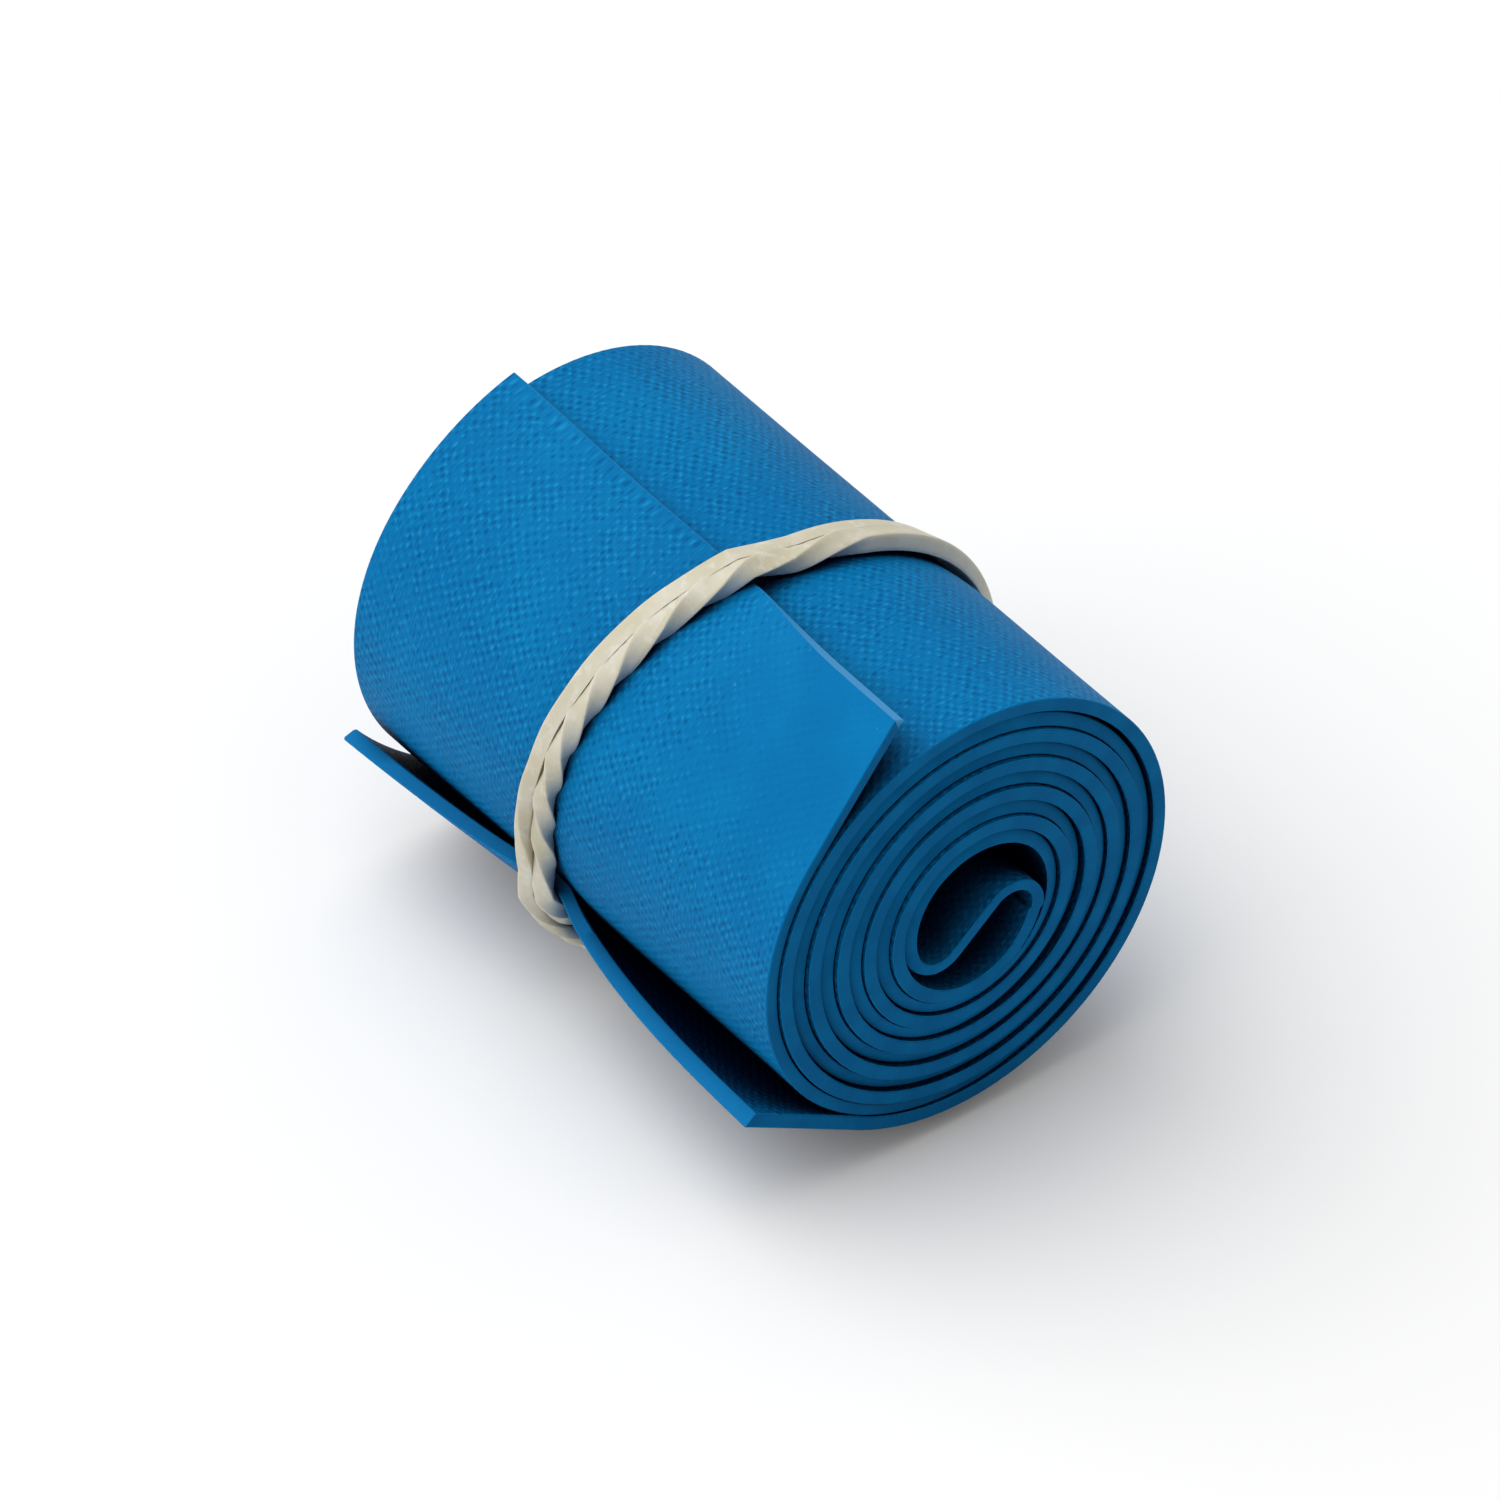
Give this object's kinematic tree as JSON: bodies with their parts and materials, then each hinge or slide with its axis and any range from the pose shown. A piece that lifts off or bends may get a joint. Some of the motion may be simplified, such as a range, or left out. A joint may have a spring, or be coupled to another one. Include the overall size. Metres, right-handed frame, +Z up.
{
  "type": "rolled elastic tourniquet strap",
  "caption": "Flat textured elastic strap rolled up from its middle round an S-shaped core, held by a twisted rubber band that slides off.",
  "frame": {"origin": "under the middle of the whole object, on the surface that it lies on", "axes": "+Y along the roll's axis, away from the end that the free ends stand out most at; +Z up; +X to the right seen from the front end at -Y"},
  "size_m": [0.0202, 0.025, 0.0214],
  "materials": {
    "blue_elastomer": "matt blue elastomer sheet with a fine woven imprint",
    "cream_rubber": "satin natural rubber"
  },
  "bodies": {
    "strap": {"strap_roll": "blue_elastomer", "upper_free_end": "blue_elastomer", "lower_free_end": "blue_elastomer"},
    "band": {"rubber_band": "cream_rubber"}
  },
  "joints": [
    {"name": "band_slide", "type": "slide", "parent": "strap", "child": "band", "axis": [0, 1, 0], "range_m": [-0.0165, 0.017], "deforming": ["upper_free_end", "lower_free_end"]}
  ]
}
